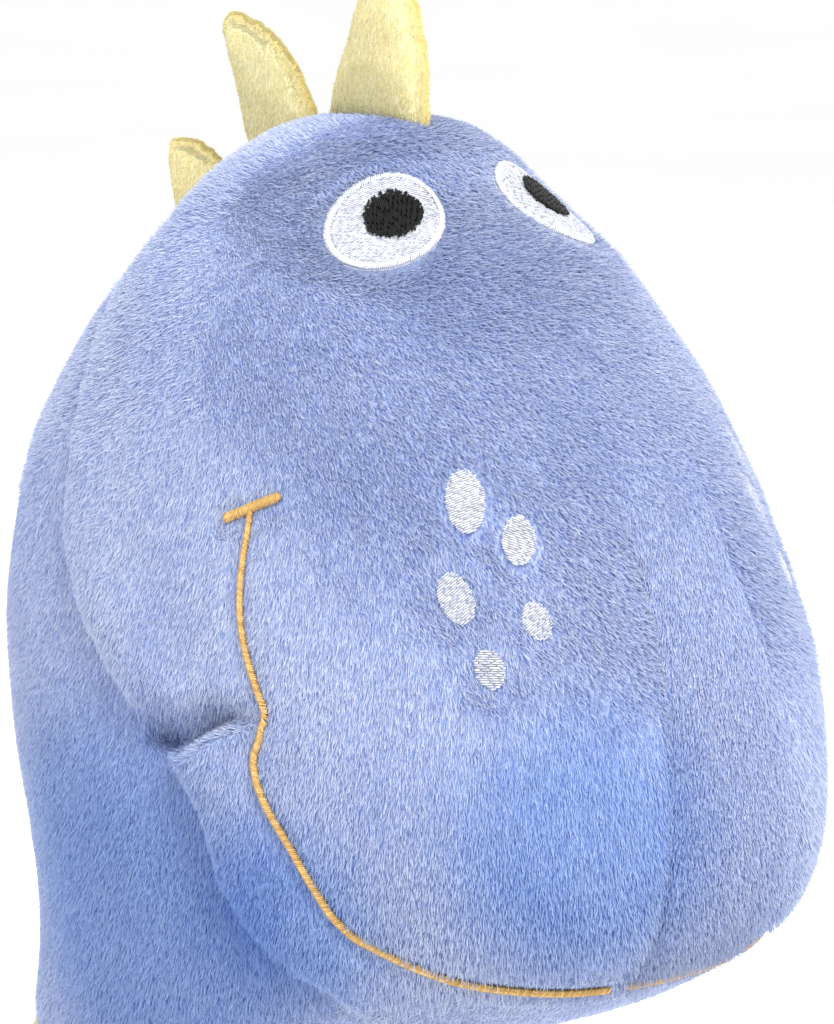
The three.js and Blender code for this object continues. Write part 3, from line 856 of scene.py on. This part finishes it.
# ---- from labelled faces to panels of cloth ----
def cloth_piece(name, co, quads, n):
    """A closed sheet: the outer faces, the same faces CLOTH_THICK further in, and the edge."""
    used, flat = np.unique(quads, return_inverse=True)
    outer = flat.reshape(-1, 4)
    count = len(used)
    inner = outer[:, ::-1] + count
    a = outer.ravel()
    b = np.roll(outer, -1, axis=1).ravel()
    key = np.minimum(a, b) * count + np.maximum(a, b)
    _, first, times = np.unique(key, return_index=True, return_counts=True)
    rim = first[times == 1]
    edge = np.stack([b[rim], a[rim], a[rim] + count, b[rim] + count], axis=1)
    points = np.vstack([co[used], co[used] - n[used] * CLOTH_THICK])
    obj = grid_object(name, points, np.vstack([outer, inner, edge]))
    shade_smooth(obj)
    return obj, used, count


embroidered = tree_of(joined([n for n in frame["nodes"] if n.startswith(("eye_white", "cheek_spot"))]))
mouth_tree = tree_of(joined([n for n in frame["nodes"] if n.startswith("mouth_")]))


def bare_under_thread(co):
    patch = 1 - ramp01(distance_to(embroidered, co), 0.35 * MM, 1.2 * MM)
    line = 1 - ramp01(distance_to(mouth_tree, co), 0.8 * MM, 1.7 * MM)
    return np.maximum(patch, line)


def between_darts(co):
    """1 on the snout's front gore, where the nap of the cloth runs aslant."""
    line = np.array([face_point(y, z, x) for x, y, z in DART])
    half = np.interp(-co[:, 2], -line[:, 2], line[:, 0])
    inside = 1 - ramp01(np.abs(co[:, 0]) - half, -0.7 * MM, 0.7 * MM)
    bottom, top = line[-1, 2], line[0, 2]
    height = ramp01(co[:, 2], bottom - 6 * MM, bottom) * (1 - ramp01(co[:, 2], top, top + 30 * MM))
    return inside * height * (co[:, 1] < line[0, 1] + 12 * MM)


def build_panels():
    co, quads, n = coords(form), quads_of(form), normals(form)
    for number, node in enumerate(PANELS):
        piece, used, count = cloth_piece("plush_" + node, co, quads[labels == number], n)
        inside = np.zeros(len(piece.data.vertices))
        inside[count:] = 1.0
        nose = np.zeros(len(inside))
        if number == FACE:
            inside[:count] = bare_under_thread(co[used])
            nose[:count] = between_darts(co[used]) * (1 - inside[:count])
        piece.data.materials.append(blue_cloth)
        nap_attribute(piece)
        if number != SEAT:
            share = 1.0 if number in (FACE, CHIN, HEAD_BACK, HEAD_BACK + 1) else LIMB_SHARE
            grow_pile(piece, blue_pile, 10 * number, np.maximum(inside, nose), 1.0, share)
        if number == FACE:
            slot, density = len(piece.data.materials), TUFTS_PER_MM2
            pile_system(piece, "pile_nose", nose, (-0.62, -0.3, -0.72), slot, 90, 0.9, density, 1.0)
        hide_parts(node)
        if number == SEAT:
            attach(piece, "torso")
        else:
            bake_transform(piece)


build_panels()


# ---- fillings ----
def filling_piece(node, body, material):
    piece = make_object("fibre_" + node, *node_arrays(node))
    voxel_remesh(piece, LIMB_VOXEL)
    largest_shell(piece)
    smooth(piece, 4)
    co = coords(piece)
    lumps = 0.6 * MM * noise_field(co, 12 * MM, 5) - 3.2 * MM
    set_coords(piece, co + normals(piece) * lumps[:, None])
    piece.data.materials.append(material)
    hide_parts(node)
    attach(piece, body)


filling_piece("head_stuffing", "head", fibre_filling)
filling_piece("body_stuffing", "torso", fibre_filling)
filling_piece("pellet_pouch", "torso", pellet_cloth)


# ---- arms, legs and tail ----
def padded_limb(name, nodes, body, root, root_radius, seed):
    """Cloth round its filling, with a rounded root that is sewn into the body."""
    form = make_object(name, *merged(joined(nodes), ball_arrays(root, root_radius)))
    voxel_remesh(form, LIMB_VOXEL)
    largest_shell(form)
    smooth(form, 8)
    start = coords(form)
    set_coords(form, start - normals(form) * 0.7 * MM)
    near_root = 1 - ramp01(np.linalg.norm(start - root, axis=1), root_radius, root_radius + 8 * MM)
    inflate(form, 1.6 * MM, near_root)
    subdivide(form, 1)
    co = coords(form)
    waves = 0.4 * MM + 0.5 * MM * noise_field(co, 16 * MM, 6)
    co = co + normals(form) * waves[:, None]
    co[:, 2] = np.maximum(co[:, 2], 0.3 * MM)
    set_coords(form, co)
    shade_smooth(form)
    form.data.materials.append(blue_cloth)
    nap_attribute(form)
    grow_pile(form, blue_pile, seed, None, 1.0, LIMB_SHARE)
    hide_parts(*nodes)
    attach(form, body)
    return form


def sole_piece(side):
    node = "leg_sole_" + side
    sole = make_object("plush_" + node, *node_arrays(node))
    voxel_remesh(sole, 1.6 * MM)
    smooth(sole, 4)
    inflate(sole, 1.2 * MM)
    subdivide(sole, 1)
    shade_smooth(sole)
    sole.data.materials.append(cream_cloth)
    nap_attribute(sole)
    grow_pile(sole, cream_pile, 300, None, 0.6, 0.6)
    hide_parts(node)
    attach(sole, "leg_" + side)


for number, (side, _) in enumerate(SIDES):
    padded_limb(
        "plush_arm_" + side, ["arm_skin_" + side, "arm_stuffing_" + side], "arm_" + side,
        joint_at("shoulder_" + side), 15 * MM, 100 + 10 * number,
    )
    padded_limb(
        "plush_leg_" + side, ["leg_skin_" + side, "leg_stuffing_" + side], "leg_" + side,
        joint_at("hip_" + side), 25 * MM, 130 + 10 * number,
    )
    sole_piece(side)
tail = padded_limb(
    "plush_tail", ["tail_skin", "tail_stuffing"], "tail", joint_at("tail_lift"), 29.5 * MM, 160,
)
tail_tree = tree_of(tail)


# ---- spikes ----
def outline_of(node):
    """The sewn edge of a spike: its rim, in order round the middle, on the centre plane."""
    co = node_points(node)
    rim = co[np.abs(np.abs(co[:, 0]) - 0.9 * MM) < 0.2 * MM]
    middle = rim.mean(axis=0)
    angle = np.arctan2(rim[:, 2] - middle[2], rim[:, 1] - middle[1])
    rim = rim[np.argsort(angle)] * [0, 1, 1]
    return along(np.vstack([rim, rim[:1]]), 0.5 * MM)


def sunk_root(co, depth):
    """Draws the foot of a spike down into the cloth that it is sewn to."""
    out = co.copy()
    for i, p in enumerate(co):
        places = [tree.find_nearest(Vector(p)) for tree in (form_tree, tail_tree)]
        hit, _, _, distance = min(places, key=lambda place: place[3])
        if 0.01 * MM < distance < 9 * MM:
            share = 1 - min(max((distance - 1.5 * MM) / (7.5 * MM), 0), 1)
            out[i] += (np.array(hit) - p) / distance * depth * share
    return out


# How far the foot of a spike is drawn in; the back's centre seam leaves the deepest hollow.
ROOT_DEPTH = {"head": 3.2 * MM, "torso": 5.5 * MM, "tail": 3.2 * MM}


def spike_piece(number):
    node = f"spike_{number}"
    body = "head" if number <= 3 else "torso" if number <= 6 else "tail"
    spike = make_object("plush_" + node, *node_arrays(node))
    voxel_remesh(spike, SPIKE_VOXEL)
    smooth(spike, 3)
    inflate(spike, 1.0 * MM)
    subdivide(spike, 1)
    co = coords(spike)
    edge = tree_distances(points_tree(outline_of(node)), co)
    co = sunk_root(co, ROOT_DEPTH[body])
    ridge = 0.5 * MM * bell(edge, 0.9 * MM) - 0.45 * MM * bell(edge - 1.9 * MM, 0.8 * MM)
    wrinkles = 0.25 * MM * noise_field(co, 6 * MM, 8)
    co = co + normals(spike) * (ridge + wrinkles)[:, None]
    set_coords(spike, co)
    shade_smooth(spike)
    colour = spike.data.attributes.new("edge", "FLOAT", "POINT")
    colour.data.foreach_set("value", bell(edge, 1.2 * MM).astype(np.float32))
    spike.data.materials.append(cream_cloth)
    nap_attribute(spike)
    grow_pile(spike, cream_pile, 400 + 10 * number, None, 0.32, 2.0)
    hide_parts(node)
    if number == 4:
        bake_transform(spike)
    else:
        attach(spike, body)


for number in range(1, 10):
    spike_piece(number)


# ---- embroidery ----
class Threads:
    """Collects stitches as small closed bodies, each with its own shade."""

    def __init__(self):
        self.points = []
        self.faces = []
        self.shades = []

    def add(self, start, end, up, radius, shade, sag=0.0):
        """One stitch: three four-sided rings and two points, flattened on to the cloth."""
        start, end, up = np.asarray(start), np.asarray(end), np.asarray(up)
        line = end - start
        across = np.cross(line, up)
        across /= max(np.linalg.norm(across), 1e-9)
        base = len(self.points)
        self.points.append(start - up * 0.3 * radius)
        for share, size in ((0.12, 0.75), (0.5, 1.0), (0.88, 0.75)):
            middle = start + line * share + up * (sag * math.sin(share * math.pi))
            for k in range(4):
                turn = (k + 0.5) * math.pi / 2
                offset = across * math.cos(turn) + up * math.sin(turn)
                self.points.append(middle + offset * radius * size)
        self.points.append(end - up * 0.3 * radius)
        for k in range(4):
            after = (k + 1) % 4
            self.faces.append((base, base + 1 + after, base + 1 + k))
            for ring in (0, 4):
                low = base + 1 + ring
                self.faces.append((low + k, low + after, low + 4 + after, low + 4 + k))
            self.faces.append((base + 13, base + 9 + k, base + 9 + after))
        self.shades += [shade] * 14

    def piece(self, name, node, material, slot):
        obj = make_object(name, self.points, self.faces)
        recalculate(obj)
        shade = obj.data.attributes.new("stitch", "FLOAT", "POINT")
        shade.data.foreach_set("value", np.array(self.shades, np.float32))
        shade_smooth(obj)
        obj.data.materials.append(material)
        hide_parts(node)
        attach(obj, "head")
        return obj


def recalculate(obj):
    bm = bmesh.new()
    bm.from_mesh(obj.data)
    bmesh.ops.recalc_face_normals(bm, faces=bm.faces)
    bm.to_mesh(obj.data)
    bm.free()


class Patch:
    """The place of an oval patch of embroidery, found from its CAD solid."""

    def __init__(self, node):
        co = node_points(node)
        self.middle = (co.min(axis=0) + co.max(axis=0)) / 2
        _, _, axes = np.linalg.svd(co - co.mean(axis=0), full_matrices=False)
        self.long, self.short, self.up = axes
        hit, normal, _, _ = form_tree.find_nearest(Vector(self.middle))
        if np.dot(self.up, normal) < 0:
            self.up = -self.up
        for axis, name in ((self.long, "half_long"), (self.short, "half_short")):
            reach = (co - self.middle) @ axis
            setattr(self, name, np.ptp(reach) / 2 - 0.75 * MM)
            self.middle = self.middle + axis * (reach.max() + reach.min()) / 2

    def on_cloth(self, u, v, lift):
        p = self.middle + self.long * u + self.short * v
        start = Vector(p + self.up * 30 * MM)
        hit, normal, _, _ = form_tree.ray_cast(start, Vector(-self.up))
        if hit is None:
            hit, normal, _, _ = form_tree.find_nearest(Vector(p))
        return np.array(hit) + np.array(normal) * lift, np.array(normal)


def oval_pad(threads, patch, lift, scale=1.0):
    """The solid ground under the stitches: a thin oval body that follows the cloth."""
    rings, count = 7, 40
    base = len(threads.points)
    for level in (lift, lift - 1.1 * MM):
        p, n = patch.on_cloth(0, 0, level)
        threads.points.append(p)
        for r in range(1, rings + 1):
            for k in range(count):
                turn = 2 * math.pi * k / count
                u = math.cos(turn) * patch.half_long * scale * r / rings
                v = math.sin(turn) * patch.half_short * scale * r / rings
                drop = 0.35 * MM if r == rings and level == lift else 0
                threads.points.append(patch.on_cloth(u, v, level - drop)[0])
    size = 1 + rings * count
    for layer, flip in ((0, False), (size, True)):
        at = base + layer
        for k in range(count):
            after = (k + 1) % count
            faces = [(at, at + 1 + k, at + 1 + after)]
            for r in range(rings - 1):
                low = at + 1 + r * count
                faces.append((low + k, low + count + k, low + count + after, low + after))
            threads.faces += [f[::-1] if flip else f for f in faces]
    rim = base + 1 + (rings - 1) * count
    for k in range(count):
        after = (k + 1) % count
        threads.faces.append((rim + k, rim + size + k, rim + size + after, rim + after))
    threads.shades += [0.55] * (2 * size)


def satin_border(threads, patch, width, lift):
    """Short stitches side by side, square to the edge."""
    around = math.pi * (patch.half_long + patch.half_short)
    count = int(around / (0.40 * MM))
    for k in range(count):
        turn = 2 * math.pi * k / count
        c, s = math.cos(turn + 0.05), math.sin(turn + 0.05)
        reach = rng.uniform(-0.12, 0.18) * MM
        outer = [c * (patch.half_long + reach), s * (patch.half_short + reach)]
        c, s = math.cos(turn - 0.02), math.sin(turn - 0.02)
        inner = [c * (patch.half_long - width), s * (patch.half_short - width)]
        a, n = patch.on_cloth(*outer, lift - 0.35 * MM)
        b, _ = patch.on_cloth(*inner, lift)
        threads.add(a, b, n, THREAD_RADIUS, rng.uniform(0.55, 1.0), 0.18 * MM)


def fill_stitches(threads, patch, inset, lift, length, slant, pitch=0.40 * MM, ragged=0.0):
    """Rows of stitches across the patch, each row shifted so that the ends make a speckle."""
    long_half, short_half = patch.half_long - inset, patch.half_short - inset
    cs, sn = math.cos(slant), math.sin(slant)
    reach = max(long_half, short_half)
    rows = int(2 * reach / pitch)
    for row in range(rows):
        across = -reach + (row + 0.5) * pitch
        shift = (row * 0.37 % 1.0) * length
        place = -reach - shift
        while place < reach:
            gap = length * rng.uniform(0.7, 1.25)
            ends = []
            for t in (place, place + gap):
                u, v = t * cs - across * sn, t * sn + across * cs
                ends.append((u, v))
            place += gap
            inside = [(u / long_half) ** 2 + (v / short_half) ** 2 for u, v in ends]
            if min(inside) > 1.0:
                continue
            if max(inside) > 1.0:
                ends = clipped(ends, long_half, short_half, ragged)
            a, n = patch.on_cloth(*ends[0], lift)
            b, _ = patch.on_cloth(*ends[1], lift)
            if np.linalg.norm(b - a) > 0.3 * MM:
                threads.add(a, b, n, THREAD_RADIUS, rng.uniform(0.2, 1.0), 0.1 * MM)


def clipped(ends, long_half, short_half, ragged):
    """Shortens a stitch so that its outer end lies on the oval, give or take."""
    (u0, v0), (u1, v1) = ends
    first_out = (u0 / long_half) ** 2 + (v0 / short_half) ** 2 > 1
    low, high = 0.0, 1.0
    for _ in range(12):
        mid = (low + high) / 2
        u, v = u0 + (u1 - u0) * mid, v0 + (v1 - v0) * mid
        out = (u / long_half) ** 2 + (v / short_half) ** 2 > 1
        if out == first_out:
            low = mid
        else:
            high = mid
    size = math.hypot(u1 - u0, v1 - v0)
    spare = rng.uniform(-0.3, 1.0) * ragged / max(size, 1e-9)
    f = low - spare if first_out else low + spare
    point = (u0 + (u1 - u0) * f, v0 + (v1 - v0) * f)
    return [point, (u1, v1)] if first_out else [(u0, v0), point]


def stitched_eye(side):
    node = "eye_white_" + side
    patch, threads = Patch(node), Threads()
    oval_pad(threads, patch, THREAD_LIFT - 0.1 * MM)
    fill_stitches(threads, patch, 1.2 * MM, THREAD_LIFT, 2.2 * MM, 0.35)
    satin_border(threads, patch, 1.5 * MM, THREAD_LIFT + 0.2 * MM)
    threads.piece("stitched_" + node, node, white_thread, "white_thread")
    node = "eye_pupil_" + side
    pupil, threads = Patch(node), Threads()
    oval_pad(threads, pupil, THREAD_LIFT + 0.35 * MM, 0.95)
    fill_stitches(threads, pupil, 0, THREAD_LIFT + 0.5 * MM, 3.6 * MM, 0.9, 0.33 * MM, 0.9 * MM)
    threads.piece("stitched_" + node, node, black_thread, "black_thread")


def stitched_spot(side, number):
    node = f"cheek_spot_{side}_{number}"
    patch, threads = Patch(node), Threads()
    oval_pad(threads, patch, THREAD_LIFT - 0.2 * MM, 0.96)
    fill_stitches(threads, patch, 0, THREAD_LIFT, 1.9 * MM, 1.25, 0.42 * MM, 0.25 * MM)
    threads.piece("stitched_" + node, node, white_thread, "white_thread")


def line_of(node):
    """The middle line of a strip of embroidery, in order, from its CAD solid's corners."""
    co = node_points(node)
    groups = []
    for p in co:
        for g in groups:
            if np.linalg.norm(np.mean(g, axis=0) - p) < 2.2 * MM:
                g.append(p)
                break
        else:
            groups.append([p])
    left = [np.mean(g, axis=0) for g in groups]
    left.sort(key=lambda p: -p[2] - (abs(p[0]) if "center" in node else 0))
    line = [left.pop(0)]
    while left:
        nearest = min(range(len(left)), key=lambda i: np.linalg.norm(left[i] - line[-1]))
        line.append(left.pop(nearest))
    return np.array(line)


def smooth_line(points, step):
    """An even, smooth line through the points."""
    fine = along(points, step / 3)
    for _ in range(30):
        fine[1:-1] += 0.5 * ((fine[:-2] + fine[2:]) / 2 - fine[1:-1])
    length = np.concatenate([[0], np.cumsum(np.linalg.norm(np.diff(fine, axis=0), axis=1))])
    places = np.arange(0, length[-1], step)
    return np.stack([np.interp(places, length, fine[:, k]) for k in range(3)], axis=1)


def stitched_line(node, half_from, half_to, lean, starts_at=None):
    """A raised line of slanted satin stitches over a soft core."""
    threads = Threads()
    places = line_of(node)
    if starts_at is not None:
        places = np.vstack([starts_at, places])
    line = smooth_line(places, 0.42 * MM)
    placed = []
    for p in line:
        hit, normal, _, _ = form_tree.find_nearest(Vector(p))
        placed.append((np.array(hit), np.array(normal)))
    for i in range(len(placed) - 3):
        (a, n), (b, _) = placed[i], placed[i + 3]
        forward = b - a
        side = np.cross(forward, n)
        side /= max(np.linalg.norm(side), 1e-9)
        half = half_from + (half_to - half_from) * i / len(placed)
        base = (a + b) / 2 + n * THREAD_LIFT
        start = base + side * half - forward * lean
        end = base - side * half + forward * lean
        lower = n * 0.25 * MM
        shade = rng.uniform(0.1, 1.0)
        threads.add(start - lower, end - lower, n, THREAD_RADIUS * 1.15, shade, half * 0.75)
        if i % 3 == 0:
            threads.add(a + n * 0.6 * MM, b + n * 0.6 * MM, n, half * 0.8, 0.3)
    threads.piece("stitched_" + node, node, gold_thread, "gold_thread")


for side, _ in SIDES:
    stitched_eye(side)
    for number in range(1, 6):
        stitched_spot(side, number)
    bar = line_of("mouth_corner_" + side)
    stitched_line("mouth_line_" + side, 0.72 * MM, 1.15 * MM, 0.45, bar[len(bar) // 2])
    stitched_line("mouth_corner_" + side, 1.1 * MM, 1.1 * MM, 0.2)
stitched_line("mouth_line_center", 1.05 * MM, 1.05 * MM, 0.45)


# ---- floor, light and camera ----
FLOOR_GLOW = 0.2
SKY_STRENGTH = 0.78
WARM_WHITE = (1.0, 0.985, 0.93)
WHITE = (1, 1, 1)
CAMERA_AZIMUTH = math.radians(-46.58)
CAMERA_ELEVATION = math.radians(9.67)
CAMERA_DISTANCE = 0.9
SENSOR = 36.0
LENS = 202.5
AIM_UP = 9.95 * MM
AIM_LEFT = 0.42 * MM


def direction(azimuth, elevation):
    """From the toy towards a place round it; 0 degrees is in front of the face."""
    level = math.cos(elevation)
    return Vector((math.sin(azimuth) * level, -math.cos(azimuth) * level, math.sin(elevation)))


def backdrop():
    """A pale floor that curves up into a wall far behind."""
    rows = []
    for k in range(24):
        turn = min(max((k - 6) / 12, 0), 1) * math.pi / 2
        far = 5.0 + 2.0 * math.sin(turn) if k >= 6 else -4.0 + 9.0 * k / 6
        high = 2.0 * (1 - math.cos(turn)) + max(k - 18, 0) * 0.8
        rows.append((far, high))
    away = Vector((-math.sin(CAMERA_AZIMUTH), math.cos(CAMERA_AZIMUTH), 0))
    side = Vector((away.y, -away.x, 0))
    points, faces = [], []
    for far, high in rows:
        for j in range(13):
            points.append(away * far + side * (j - 6) * 1.5 + Vector((0, 0, high)))
    for i in range(len(rows) - 1):
        for j in range(12):
            a = i * 13 + j
            faces.append((a, a + 1, a + 14, a + 13))
    obj = make_object("floor", points, faces)
    shade_smooth(obj)
    m = Nodes("pale_floor")
    grain = m.noise(m.scaled_place((3, 3, 3)), 2.0)
    pale = m.ramp(grain, [(0.3, (0.90, 0.90, 0.90, 1)), (0.7, (0.93, 0.93, 0.93, 1))])
    m.link(pale, m.shader.inputs["Base Color"])
    m.shader.inputs["Emission Color"].default_value = (1, 1, 1, 1)
    m.shader.inputs["Emission Strength"].default_value = FLOOR_GLOW
    obj.data.materials.append(m.finish(0.9, 0.0, (1, 1, 1, 1), 0.1))


def area_light(name, azimuth, elevation, distance, size, power, colour):
    light = bpy.data.lights.new(name, "AREA")
    light.shape = "DISK"
    light.size = size
    light.energy = power
    light.color = colour
    obj = bpy.data.objects.new(name, light)
    bpy.context.scene.collection.objects.link(obj)
    away = direction(math.radians(azimuth), math.radians(elevation))
    target = Vector((0, between_eyes[1], between_eyes[2] * 0.6))
    obj.location = target + away * distance
    obj.rotation_euler = away.to_track_quat("Z", "Y").to_euler()


def place_camera():
    """Looks at the cheek from the front right, a little from above."""
    camera = bpy.data.cameras.new("camera")
    camera.sensor_fit = "HORIZONTAL"
    camera.sensor_width = SENSOR
    camera.lens = LENS
    camera.clip_end = 60
    obj = bpy.data.objects.new("camera", camera)
    bpy.context.scene.collection.objects.link(obj)
    back = direction(CAMERA_AZIMUTH, CAMERA_ELEVATION)
    right = Vector((math.cos(CAMERA_AZIMUTH), math.sin(CAMERA_AZIMUTH), 0))
    up = back.cross(right)
    aim = Vector(face_point(10, -70)) + up * AIM_UP - right * AIM_LEFT
    obj.location = aim + back * CAMERA_DISTANCE
    obj.rotation_euler = back.to_track_quat("Z", "Y").to_euler()
    bpy.context.scene.camera = obj


def studio():
    backdrop()
    world = bpy.data.worlds.new("studio")
    world.use_nodes = True
    sky = world.node_tree.nodes["Background"].inputs
    sky["Color"].default_value = (1.0, 1.0, 1.0, 1)
    sky["Strength"].default_value = SKY_STRENGTH
    bpy.context.scene.world = world
    bpy.context.scene.view_settings.view_transform = "Standard"
    area_light("key", -12, 50, 1.6, 1.1, 25, WARM_WHITE)
    area_light("fill", -95, 45, 1.8, 1.4, 9, WHITE)
    area_light("rim", 160, 45, 1.8, 1.0, 12, WHITE)


studio()
place_camera()
bpy.data.objects.remove(form)
